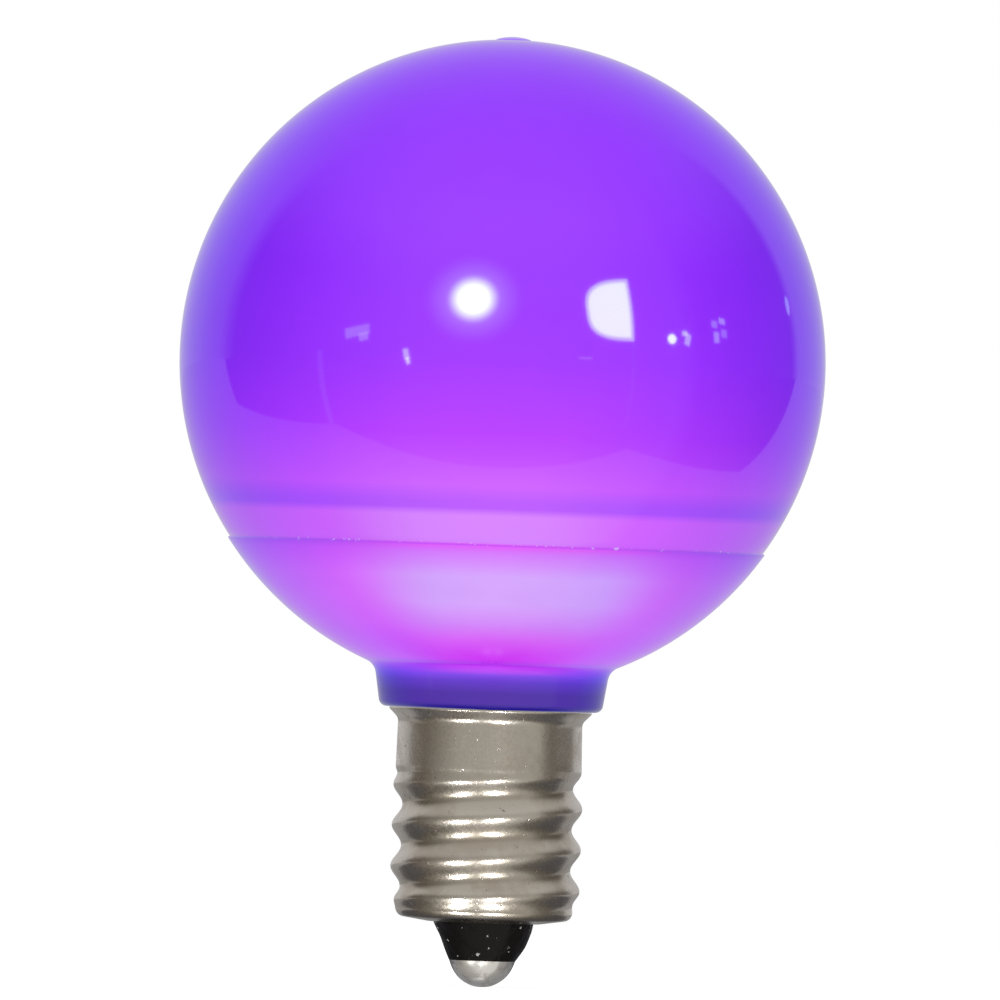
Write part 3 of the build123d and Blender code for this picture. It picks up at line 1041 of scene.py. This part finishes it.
class ScrewShell(SubAssembly):
    """The thin sheet shell: turned-in edge, rolled right-hand thread, plain band and the bell under the collar."""

    def __init__(self, effects: Effects, sizes: ShellSizes) -> None:
        """Takes the two end heights from the frame.

        Args:
            effects: the shared effects.
            sizes: the shell's sizes.
        """
        super().__init__(effects)
        self.sizes = sizes
        low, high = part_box("screw_shell")
        self.edge = low.z
        self.rim = high.z
        self.foot = self.edge + sizes.edge_corner
        self.bell = self.rim - sizes.bell_height
        self.band = self.bell - sizes.band_height

    def thread(self, height: np.ndarray) -> tuple[np.ndarray, np.ndarray, np.ndarray]:
        """Level circles of a single-start rolled thread.

        Each level section is a circle set off the axis by half the thread's depth, and its direction turns once in
        each pitch. The offset and the radius ease into the plain ends with 3s² - 2s³.

        Args:
            height: heights above the solder tip.

        Returns:
            Radius, offset along X and offset along Y at each height.
        """
        sizes = self.sizes
        head = eased((self.band - height) / sizes.head_run_out)
        foot = eased((height - self.foot) / sizes.foot_run_out)
        body = eased((height - self.foot) / sizes.foot_blend)
        radius = sizes.mean_radius + (sizes.band_foot_radius - sizes.mean_radius) * (1 - head)
        radius = radius - (sizes.mean_radius - sizes.foot_radius) * (1 - body)
        angle = 2 * math.pi * (height - self.foot - sizes.crest_above_foot) / sizes.pitch
        offset = sizes.thread_depth / 2 * head * foot
        return radius, offset * np.cos(angle), offset * np.sin(angle)

    def rings(self, inset: float, spacing: float) -> np.ndarray:
        """Rings of the threaded length, smaller by an inset all round.

        Args:
            inset: how far they lie inside the outer face.
            spacing: the height between two rings.

        Returns:
            The rings as ring, segment, XYZ.
        """
        height = np.linspace(self.foot, self.band, round((self.band - self.foot) / spacing) + 1)
        radius, along_x, along_y = self.thread(height)
        rings = spin(np.stack((radius - inset, height), axis=1), self.sizes.segments)
        rings[:, :, 0] += along_x[:, None]
        rings[:, :, 1] += along_y[:, None]
        return self.under_band(rings, height, inset)

    def under_band(self, rings: np.ndarray, height: np.ndarray, inset: float) -> np.ndarray:
        """Rings whose crests don't stand out past the band near the thread's head, and whose groove starts below it.

        The soft minimum of a reach a and a limit b with the blend k is (a + b - √((a - b)² + k²)) / 2, and the soft
        maximum has a plus there. Both limits start as the band's radius and ease away from it below the band.

        Args:
            rings: points as ring, segment, XYZ.
            height: height of each ring.
            inset: how far they lie inside the outer face.

        Returns:
            The same rings, changed.
        """
        sizes = self.sizes
        below = self.band - height
        blend = sizes.limit_blend * np.clip(below / MM, 0, 1)[:, None]
        reach = np.hypot(rings[:, :, 0], rings[:, :, 1])
        limited = reach
        for side, (start, run) in ((1, sizes.crest_limit), (-1, sizes.groove_limit)):
            limit = sizes.band_foot_radius - inset + side * sizes.thread_depth * eased((below - start) / run)
            limit = limit[:, None]
            limited = (limited + limit - side * np.sqrt((limited - limit) ** 2 + blend**2)) / 2
        rings[:, :, :2] *= (limited / reach)[:, :, None]
        return rings

    def build(self) -> None:
        """Joins the turned ends to the threaded length, outside and inside."""
        sizes = self.sizes
        slope = sizes.edge_rise / (sizes.foot_radius - sizes.hole_radius)
        inner_foot = sizes.foot_radius - sizes.sheet
        inner_edge = self.edge + sizes.sheet + slope * (inner_foot - sizes.hole_radius)
        foot = [(sizes.foot_radius, self.edge + sizes.edge_rise), (sizes.foot_radius, self.foot)]
        below = rounded([(sizes.hole_radius, self.edge), *foot], [0, sizes.foot_bend, 0])
        above = rounded(
            [
                (sizes.band_foot_radius, self.band),
                (sizes.band_head_radius, self.bell),
                (sizes.bell_radius, self.rim),
                (sizes.bell_radius - sizes.rim_width, self.rim),
                (sizes.band_head_radius - sizes.sheet, self.bell + sizes.sheet / 4),
                (sizes.band_foot_radius - sizes.sheet, self.band),
            ],
            [0, sizes.bell_bend, sizes.rim_bend, sizes.rim_bend, sizes.bell_bend + sizes.sheet, 0],
        )
        within = np.array([(inner_foot, inner_edge), (sizes.hole_radius, self.edge + sizes.sheet)])
        rings = [
            spin(divided(below, sizes.end_spacing)[:-1], sizes.segments),
            self.rings(0, sizes.ring_spacing),
            spin(divided(above, sizes.end_spacing)[1:-1], sizes.segments),
            self.rings(sizes.sheet, sizes.inner_ring_spacing)[::-1],
            spin(within, sizes.segments),
        ]
        self.pieces["shell_skin"] = skin("shell_skin", np.concatenate(rings))

    def dress(self) -> None:
        """Plates the sheet."""
        self.stand_in(self.pieces["shell_skin"], "screw_shell", SheetNickel("shell_metal"))


@dataclass(frozen=True)
class TipSizes:
    """Sizes of the insulator and the centre contact."""

    tip_radius: float = 2.07 * MM
    plug_radius: float = 3.12 * MM
    waist: float = 0.22 * MM
    flange_radius: float = 4.65 * MM
    flange_lift: float = 0.2 * MM
    flange_bevel: float = 0.3 * MM
    flange_top: float = 1.94 * MM
    boss_radius: float = 2.4 * MM
    boss_top: float = 2.64 * MM
    hole_radius: float = 0.9 * MM
    eyelet_radius: float = 0.85 * MM
    eyelet_rim_radius: float = 1.3 * MM
    eyelet_rim_height: float = 0.3 * MM
    lead_hole_radius: float = 0.3 * MM
    eyelet_floor: float = 0.5 * MM
    solder_radius: float = 2.05 * MM
    tip_bend: float = 0.12 * MM
    spacing: float = 0.12 * MM
    lump: float = 0.09 * MM
    solder_lump: float = 0.054 * MM
    lumps_start: float = 0.1 * MM
    waves: tuple[tuple[float, float, float], ...] = ((3, 1.7, 0), (5, -2.3, 1), (8, 4.1, 2))
    segments: int = 128


class Tip(SubAssembly):
    """The black insulator and the solder dome under it."""

    def __init__(self, effects: Effects, sizes: TipSizes) -> None:
        """Takes the heights from the frame.

        Args:
            effects: the shared effects.
            sizes: the tip's sizes.
        """
        super().__init__(effects)
        self.sizes = sizes
        self.solder_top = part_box("insulator")[0].z
        self.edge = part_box("screw_shell")[0].z

    def lumps(self, rings: np.ndarray, low: float, high: float, depth: float) -> np.ndarray:
        """Rings with shallow lumps between two heights.

        Each point moves in towards the axis by a sum of three slow waves round the axis and up it, from nothing to
        the whole depth, which dies out at both heights.

        Args:
            rings: points as ring, segment, XYZ.
            low: height at which the lumps start.
            high: height at which they end.
            depth: how far in the deepest one lies.

        Returns:
            The new rings.
        """
        angle = np.arctan2(rings[:, :, 1], rings[:, :, 0])
        height = rings[:, :, 2]
        share = np.clip((height - low) / (high - low), 0, 1)
        fade = np.sin(math.pi * share) ** 0.5
        climb = (height - low) / MM
        waves = sum(np.sin(turns * angle + pitch * climb + start) for turns, pitch, start in self.sizes.waves)
        reach = np.maximum(np.hypot(rings[:, :, 0], rings[:, :, 1]), NEARLY_NONE)
        pull = 1 - depth * fade * (1 + waves / len(self.sizes.waves)) / 2 / reach
        return np.concatenate((rings[:, :, :2] * pull[:, :, None], rings[:, :, 2:]), axis=2)

    def one_sided(self, rings: np.ndarray) -> np.ndarray:
        """Rings of a moulding that bulges on one side below its head and is pulled in at the head.

        Each point of the outer side at the right moves out by a half wave up the side times the cosine of the angle
        round the axis, so that this side is upright at first and the one at the left slants all the way.

        Args:
            rings: points as ring, segment, XYZ.

        Returns:
            The same rings, changed.
        """
        sizes = self.sizes
        share = np.clip((rings[:, :, 2] - self.solder_top) / (self.edge - self.solder_top), 0, 1)
        reach = np.maximum(np.hypot(rings[:, :, 0], rings[:, :, 1]), NEARLY_NONE)
        outer = np.clip((reach - sizes.hole_radius) / (sizes.tip_radius - sizes.hole_radius) - 0.5, 0, 0.5) * 2
        side = np.maximum(rings[:, :, 0] / reach, 0)
        move = sizes.waist * outer * side * np.sin(math.pi * share) * (rings[:, :, 2] < self.edge)
        rings[:, :, :2] *= (1 + move / reach)[:, :, None]
        return rings

    def build(self) -> None:
        """Turns both lines about the axis, and makes their outer sides a little lumpy."""
        sizes = self.sizes
        cone = rounded(
            [
                (sizes.hole_radius, self.solder_top),
                (sizes.tip_radius, self.solder_top),
                (sizes.plug_radius, self.edge),
                (sizes.plug_radius, self.edge + sizes.flange_lift),
                (sizes.flange_radius, self.edge + 2 * sizes.flange_lift),
                (sizes.flange_radius, self.edge + sizes.flange_top - sizes.flange_bevel),
                (sizes.flange_radius - sizes.flange_bevel, self.edge + sizes.flange_top),
                (sizes.boss_radius, self.edge + sizes.flange_top),
                (sizes.boss_radius, self.edge + sizes.boss_top),
                (sizes.hole_radius, self.edge + sizes.boss_top),
            ],
            [0, sizes.tip_bend, 0, 0, 0, 0, 0, 0, 0, 0],
        )
        rings = spin(divided(cone, sizes.spacing), sizes.segments)
        rings = self.lumps(rings, self.solder_top, self.edge + sizes.flange_lift, sizes.lump)
        self.pieces["insulator_skin"] = skin("insulator_skin", self.one_sided(rings))
        ball = (sizes.solder_radius**2 + self.solder_top**2) / (2 * self.solder_top)
        rim = self.edge + sizes.boss_top
        rim_top = rim + sizes.eyelet_rim_height
        floor = self.solder_top + sizes.eyelet_floor
        dome = arc(ball, ball, 0, self.solder_top, steps=40)[1:]
        eyelet = [
            (sizes.eyelet_radius, self.solder_top),
            (sizes.eyelet_radius, rim),
            (sizes.eyelet_rim_radius, rim),
            (sizes.eyelet_rim_radius, rim + sizes.eyelet_rim_height / 2),
            (sizes.eyelet_rim_radius - sizes.eyelet_rim_height / 2, rim_top),
            (sizes.lead_hole_radius, rim_top),
            (sizes.lead_hole_radius, floor),
        ]
        rings = spin(np.concatenate((dome, eyelet)), sizes.segments)
        rings = self.lumps(rings, sizes.lumps_start, self.solder_top, sizes.solder_lump)
        self.pieces["solder_skin"] = skin("solder_skin", rings, (0, floor))

    def dress(self) -> None:
        """Black and glossy above, solder below."""
        self.stand_in(self.pieces["insulator_skin"], "insulator", BlackVitrite("black_insulator"))
        self.stand_in(self.pieces["solder_skin"], "centre_contact", SolderSkin("solder"))


class Driver(SubAssembly):
    """The board, its emitters and the parts under it, which keep their CAD shapes."""

    def build(self) -> None:
        """Nothing to make: the CAD shapes stay."""

    def dress(self) -> None:
        """Gives each part its own plain finish."""
        self.repaint(PlainGrain("white_board", (0.82, 0.82, 0.80), (0.76, 0.76, 0.75)), "circuit_board")
        emitter = PlainGrain("emitter", (0.86, 0.82, 0.90), (0.80, 0.74, 0.88), glow=(0.85, 0.7, 1.0))
        self.repaint(emitter, "led_1", "led_2", "led_3", "led_4")
        fine = Wear(0.12 * MM, (0.4, 0.6))
        package = PlainGrain("black_package", (0.035, 0.035, 0.036), (0.05, 0.05, 0.05), grain=fine)
        self.repaint(package, "driver_chip", "bridge_rectifier")
        lacquer = PlainGrain("resistor_body", (0.50, 0.58, 0.55), (0.44, 0.53, 0.50), (0.25, 0.4))
        self.repaint(lacquer, "fuse_resistor")
        wire = PlainGrain("lead_metal", (0.74, 0.73, 0.70), (0.66, 0.64, 0.60), (0.2, 0.35), metal=1.0)
        self.repaint(wire, "shell_lead")


def direction(azimuth: float, elevation: float) -> tuple[np.ndarray, np.ndarray, np.ndarray]:
    """The way from the bulb to a place in the studio, with the level and the upright direction across it.

    Args:
        azimuth: degrees from the camera's side, to the right of the camera's picture.
        elevation: degrees above the horizon.

    Returns:
        Three unit vectors: the way, the level one to its right and the upright one.
    """
    turn, lift = math.radians(azimuth), math.radians(elevation)
    away = np.array((math.sin(turn) * math.cos(lift), -math.cos(turn) * math.cos(lift), math.sin(lift)))
    across = np.array((math.cos(turn), math.sin(turn), 0))
    return away, across, np.cross(away, across)


class Shape(Enum):
    """Outline of a card: the turns between which it runs, and how square it is, from 2 for an ellipse."""

    ROUND = (0.0, 1.0, 2.0)
    HALF = (0.25, 0.75, 3.0)
    SQUARE = (0.0, 1.0, 40.0)


@dataclass(frozen=True)
class Fade:
    """Fall of a sheet's light from full to none between two distances from a centre."""

    centre: np.ndarray
    across: np.ndarray
    upright: np.ndarray
    full: float
    none: float = 1.0

    def wire(self, graph: Graph, radiance: float) -> Socket:
        """Brightness by the distance from the centre, counted in the sheet's own half width and half height.

        Args:
            graph: the sheet's graph.
            radiance: its full brightness.

        Returns:
            The brightness.
        """
        place = graph.vector("SUBTRACT", graph.place(), self.centre)["Vector"]
        sides = [graph.vector("DOT_PRODUCT", place, side)["Value"] for side in (self.across, self.upright)]
        flat = graph.node("CombineXYZ", dict(enumerate(sides)))["Vector"]
        return graph.ease(graph.vector("LENGTH", flat)["Value"], self.none, self.full, (0.0, radiance))


@dataclass(frozen=True)
class Card:
    """One bright card, by the direction in which the globe sees it and its width and height there, in degrees."""

    name: str
    azimuth: float
    elevation: float
    width: float
    height: float
    radiance: float
    shape: Shape = Shape.SQUARE
    lean: float = 0.0
    soft: float = 0.0
    distance: float = 0.6
    points: int = 48

    def sides(self) -> tuple[np.ndarray, np.ndarray, np.ndarray]:
        """Its middle, and its half width and half height as vectors. Half a card has its middle on its right edge.

        Returns:
            The middle, the half width and the half height.
        """
        away, level, upright = direction(self.azimuth, self.elevation)
        lean = math.radians(self.lean)
        half_width, half_height = np.radians((self.width, self.height)) / 2 * self.distance
        across = (level * math.cos(lean) - upright * math.sin(lean)) * half_width
        up = (level * math.sin(lean) + upright * math.cos(lean)) * half_height
        middle = away * self.distance + np.array((0, 0, GLOBE_CENTRE))
        if self.shape is Shape.HALF:
            return middle + across, across * 2, up
        return middle, across, up

    def corners(self) -> np.ndarray:
        """Its outline in the studio: at the angle a, the signed power 2/n of cos a and of sin a, n for how square.

        Returns:
            The corners in order.
        """
        middle, across, up = self.sides()
        first, last, square = self.shape.value
        angle = np.linspace(first, last, self.points, endpoint=self.shape is Shape.HALF) * 2 * math.pi
        flat = np.stack((np.cos(angle), np.sin(angle)), axis=1)
        flat = np.sign(flat) * np.abs(flat) ** (2 / square)
        return middle + flat[:, :1] * across + flat[:, 1:] * up

    def fade(self) -> Fade | None:
        """Its fall of light, or None for a hard rim."""
        middle, across, up = self.sides()
        return Fade(middle, across / (across @ across), up / (up @ up), 1 - self.soft) if self.soft else None


@dataclass(frozen=True)
class Lamp:
    """One soft area lamp, aimed at a point on the bulb's axis."""

    name: str
    azimuth: float
    elevation: float
    width: float
    height: float
    radiance: float
    target: float
    distance: float = 0.5


@dataclass(frozen=True)
class StudioSizes:
    """Camera, floor, tables and surroundings. The tables are flat outlines in millimetres from the bulb's axis."""

    frame_width: float = 61.88 * MM
    camera_distance: float = 2.0
    roll: float = math.radians(1.97)
    aim_right: float = -0.16 * MM
    aim_down: float = 8.49 * MM
    sensor: float = 36.0
    clip: Span = (0.01, 20.0)
    floor_reach: float = 0.25
    floor_grey: float = 0.5
    floor_roughness: float = 0.9
    floor_seen: float = 0.8
    table_outline: tuple[tuple[float, float], ...] = (
        (-94, -57), (-58, -60), (60, -60), (93, 15), (1990, 1640), (1500, 2170), (0, 2640), (-1500, 2170),
        (-2340, 1224), (-206, 66),
    )
    table_behind: tuple[tuple[float, float], ...] = ((-2000, 12), (2000, 12), (2000, 2000), (-2000, 2000))
    table_under: tuple[tuple[float, float], ...] = ((-8, -8), (8, -8), (8, 8), (-8, 8))
    shadow: Span = (6 * MM, 26 * MM)
    table_radiance: float = 0.50
    behind_radiance: float = 0.30
    under_radiance: float = 0.18
    table_gap: float = 0.5 * MM
    card_tint: Colour = (0.66, 1.0, 0.90)
    ceiling: Colour = (0.62, 0.61, 0.60)
    ceiling_rise: Span = (0.35, 0.85)
    under_table: Colour = (0.10, 0.10, 0.11)
    behind_rise: Span = (0.1, 0.35)
    horizon_fall: Span = (-0.0138, -0.0162)
    tones: tuple[tuple[float, Colour], ...] = (
        (-180, (0.66, 0.66, 0.68)),
        (-140, (0.66, 0.66, 0.68)),
        (-122, (0.56, 0.56, 0.58)),
        (-112, (0.13, 0.12, 0.11)),
        (-94, (0.14, 0.12, 0.10)),
        (-66, (0.28, 0.27, 0.25)),
        (-36, (0.44, 0.43, 0.41)),
        (12, (0.50, 0.49, 0.47)),
        (66, (0.49, 0.48, 0.46)),
        (76, (0.20, 0.19, 0.17)),
        (98, (0.14, 0.13, 0.12)),
        (127, (0.15, 0.14, 0.13)),
        (132, (0.60, 0.60, 0.62)),
        (180, (0.66, 0.66, 0.68)),
    )


class Studio:
    """Plain white studio: floor, table reflection, surroundings, lamps and camera."""

    def __init__(self, sizes: StudioSizes) -> None:
        """Keeps the sizes."""
        self.sizes = sizes

    def sheet(self, name: str, outline: np.ndarray, material: bpy.types.Material) -> Piece:
        """A flat sheet of the studio, as a fan round its middle.

        Args:
            name: the sheet's name.
            outline: its corners in order.
            material: its material.

        Returns:
            The sheet.
        """
        points = np.concatenate((outline.mean(axis=0)[None], outline))
        rim = np.arange(1, len(points))
        fan = np.stack((np.zeros_like(rim), rim, np.roll(rim, -1)), axis=1)
        mesh = bpy.data.meshes.new(name)
        mesh.from_pydata(points.tolist(), [], fan.tolist())
        mesh.materials.append(material)
        made = placed(name, mesh)
        return made

    def floor(self) -> None:
        """White floor that keeps the bulb's shadow. Only the camera sees its own light."""
        sizes = self.sizes
        paint, graph = new_material("floor_white")
        feeds = {
            "Base Color": (sizes.floor_grey,) * 3,
            "Roughness": sizes.floor_roughness,
            "Specular IOR Level": 0.0,
            "Emission Color": graph.seen_by_camera(BLACK, WHITE),
            "Emission Strength": sizes.floor_seen,
        }
        graph.feed(paint.node_tree.nodes["Principled BSDF"], feeds)
        corners = np.array([(-1, -1, 0), (1, -1, 0), (1, 1, 0), (-1, 1, 0)]) * sizes.floor_reach
        self.sheet("floor", corners, paint).visible_glossy = False

    def bright(
        self,
        name: str,
        outline: np.ndarray,
        radiance: float,
        seers: bpy.types.Collection,
        tint: Colour = WHITE,
        fade: Fade | None = None,
    ) -> None:
        """Places a bright sheet that is seen only in the mirror images of its seers.

        Its light adds to what is behind it, so that it hides nothing.

        Args:
            name: the sheet's name.
            outline: its corners.
            radiance: its brightness, where 1 is white.
            seers: the pieces that mirror it.
            tint: its colour.
            fade: its fall of light towards the rim.
        """
        glow, graph = new_material(name)
        graph.tree.nodes.clear()
        strength = fade.wire(graph, radiance) if fade else radiance
        light = graph.node("Emission", {"Color": tint, "Strength": strength})[0]
        both = graph.node("AddShader", {0: light, 1: graph.node("BsdfTransparent")[0]})[0]
        graph.node("OutputMaterial", {"Surface": both})
        glow.cycles.emission_sampling = "NONE"
        piece = self.sheet(name, outline, glow)
        for ray in ("camera", "diffuse", "shadow", "transmission"):
            setattr(piece, "visible_" + ray, False)
        piece.light_linking.receiver_collection = seers

    def tables(self, *seers: bpy.types.Collection) -> None:
        """White tables, each in a plane of its own: the globe's, dim under the bulb, the metal's and the solder's.

        Args:
            seers: the pieces that mirror each table, in the order of the tables.
        """
        sizes = self.sizes
        none, full = sizes.shadow
        shadow = Fade(np.zeros(3), np.array((1, 0, 0)), np.array((0, 1, 0)), full, none)
        sheets = (
            ("table_top", sizes.table_outline, sizes.table_radiance, shadow),
            ("table_behind", sizes.table_behind, sizes.behind_radiance, None),
            ("table_under", sizes.table_under, sizes.under_radiance, None),
        )
        for layer, ((name, outline, radiance, fade), seer) in enumerate(zip(sheets, seers)):
            corners = np.array([(x * MM, y * MM, -sizes.table_gap * layer) for x, y in outline])
            self.bright(name, corners, radiance, seer, fade=fade)

    def surroundings(self) -> None:
        """White for the camera; for the bulb, pale behind, dark at both sides, grey in front and above.

        The angle round the bulb, from the camera's side to the right, picks the tone. Towards +Z it gives way to the
        ceiling's, and under the horizon behind the bulb to a dark one, where the table is added.
        """
        sizes = self.sizes
        world = bpy.data.worlds.new("studio")
        world.use_nodes = True
        bpy.context.scene.world = world
        graph = Graph(world.node_tree)
        way = graph.place("Generated")
        share = graph.math("MULTIPLY_ADD", graph.turn(way), 1 / (2 * math.pi), 0.5)
        around = graph.ramp(share, [(degrees / 360 + 0.5, colour) for degrees, colour in sizes.tones])
        sides = graph.node("SeparateXYZ", {0: way})
        around = graph.mix(graph.ease(sides["Z"], *sizes.ceiling_rise), around, sizes.ceiling)
        behind = graph.ease(sides["Y"], *sizes.behind_rise)
        below = graph.math("MULTIPLY", behind, graph.ease(sides["Z"], *sizes.horizon_fall))
        around = graph.mix(below, around, sizes.under_table)
        feeds = {"Color": graph.seen_by_camera(around, WHITE), "Strength": 1.0}
        graph.feed(world.node_tree.nodes["Background"], feeds)

    def lamp(self, lamp: Lamp, receivers: bpy.types.Collection | None = None) -> None:
        """Places an area lamp, whose power is its radiance times pi times its area.

        With receivers, it lights only those and nothing else stands in its way.

        Args:
            lamp: its sizes and its place.
            receivers: the pieces that it lights, or None for all.
        """
        data = bpy.data.lights.new(lamp.name, "AREA")
        data.shape = "ELLIPSE"
        data.size, data.size_y = lamp.width, lamp.height
        area = math.pi / 4 * lamp.width * lamp.height
        data.energy = lamp.radiance * math.pi * area
        made = placed(lamp.name, data)
        away = direction(lamp.azimuth, lamp.elevation)[0]
        made.location = away * lamp.distance + np.array((0, 0, lamp.target))
        made.rotation_euler = (math.pi / 2 - math.radians(lamp.elevation), 0, math.radians(lamp.azimuth))
        made.visible_camera = False
        if receivers is None:
            made.visible_glossy = False
            return
        data.cycles.use_multiple_importance_sampling = False
        made.light_linking.receiver_collection = receivers
        made.light_linking.blocker_collection = receivers

    def camera(self) -> None:
        """Level camera with a long lens, rolled so that the bulb leans to the right as in the photograph."""
        sizes = self.sizes
        data = bpy.data.cameras.new("camera")
        data.sensor_width = sizes.sensor
        data.lens = sizes.sensor * sizes.camera_distance / sizes.frame_width
        data.clip_start, data.clip_end = sizes.clip
        made = placed("camera", data)
        turn_x, turn_z = math.cos(sizes.roll), math.sin(sizes.roll)
        right = np.array((turn_x, 0, turn_z))
        up = np.array((-turn_z, 0, turn_x))
        aim = np.array((0, 0, GLOBE_CENTRE)) + right * sizes.aim_right - up * sizes.aim_down
        made.location = aim + np.array((0, -sizes.camera_distance, 0))
        made.rotation_euler = (math.pi / 2, -sizes.roll, 0)
        bpy.context.scene.camera = made

    def build(self, pieces: dict[str, Piece]) -> None:
        """Sets up the whole studio round the pieces.

        Args:
            pieces: the bulb's pieces by name.
        """
        self.floor()
        self.surroundings()
        plastic, metal, solder = (bpy.data.collections.new(name) for name in ("plastic", "lit_metal", "lit_solder"))
        seen = (("dome_skin", plastic), ("cup_skin", plastic), ("shell_skin", metal), ("solder_skin", solder))
        for name, collection in seen:
            collection.objects.link(pieces[name])
        pieces["shell_skin"].visible_glossy = False
        for card in (
            Card("round_softbox", -11.5, 21.6, 19.5, 18.5, 32, Shape.ROUND, soft=0.75),
            Card("round_softbox_halo", -11.5, 21.6, 38.0, 35.0, 4.6, Shape.ROUND, soft=1.0, distance=0.63),
            Card("half_softbox", 38.8, 18.4, 17.0, 20.6, 9, Shape.HALF),
            Card("half_softbox_core", 38.8, 18.4, 14.8, 18.2, 11, Shape.HALF, distance=0.61),
            Card("window_far_left", -53.2, 8.2, 9.5, 3.2, 2.6, lean=-14),
            Card("window_far_left_end", -50.5, 6.6, 3.5, 2.4, 3.2, lean=-14, distance=0.61),
            Card("window_left", -34.1, 1.6, 1.9, 3.6, 8.0, lean=-14),
            Card("window_left_end", -33.4, -0.6, 1.3, 2.2, 12.0, lean=-14, distance=0.61),
            Card("window_right", 62.3, 8.7, 3.4, 2.9, 22.0, Shape.ROUND),
            Card("window_right_low", 68.9, 8.4, 2.2, 3.4, 7.0, lean=20),
            Card("window_right_top", 67.8, 10.2, 2.2, 1.4, 9.0, distance=0.61),
            Card("window_far_right_a", 81.6, 12.1, 2.6, 1.9, 3.0, lean=10),
            Card("window_far_right_b", 85.4, 12.6, 2.8, 1.5, 4.5, lean=14),
            Card("window_far_right_c", 81.9, 8.6, 2.4, 2.9, 4.2, lean=4),
            Card("window_far_right_d", 85.6, 9.4, 2.6, 2.1, 2.4, lean=10),
            Card("window_side", 126.4, 10.9, 2.6, 3.1, 1.8, Shape.ROUND, lean=25),
            Card("glass_edge", 29.1, 2.3, 4.8, 0.5, 2.4),
            Card("door_edge", 46.9, 4.0, 0.6, 50.0, 0.35, distance=0.62),
            Card("shelf_edge", -66.6, -9.0, 2.2, 22.0, 0.45, lean=-6),
        ):
            self.bright(card.name, card.corners(), card.radiance, plastic, self.sizes.card_tint, card.fade())
        self.tables(plastic, metal, solder)
        for lamp, lit in (
            (Lamp("key", -20.0, 50.0, 0.25, 0.25, 12, GLOBE_CENTRE), None),
            (Lamp("base_left", -36.0, -37.0, 0.10, 0.34, 14, 11 * MM), metal),
            (Lamp("base_right", 14.0, -37.0, 0.11, 0.34, 14, 11 * MM), metal),
            (Lamp("tip_left", -38.0, -24.0, 0.05, 0.05, 150, 2 * MM), solder),
            (Lamp("tip_right", 0.0, -26.0, 0.05, 0.05, 150, 2 * MM), solder),
        ):
            self.lamp(lamp, lit)
        self.camera()


def main() -> None:
    """Builds the bulb's sub-assemblies in order, then the studio round them."""
    logging.basicConfig(level=logging.INFO, format="%(name)s: %(message)s")
    bpy.context.scene.view_settings.view_transform = "Standard"
    effects = Effects()
    pieces: dict[str, Piece] = {}
    for assembly in (
        Globe(effects, GlobeSizes()),
        ScrewShell(effects, ShellSizes()),
        Tip(effects, TipSizes()),
        Driver(effects),
    ):
        assembly.make()
        pieces.update(assembly.pieces)
    Studio(StudioSizes()).build(pieces)


if __name__ == "__main__":
    main()
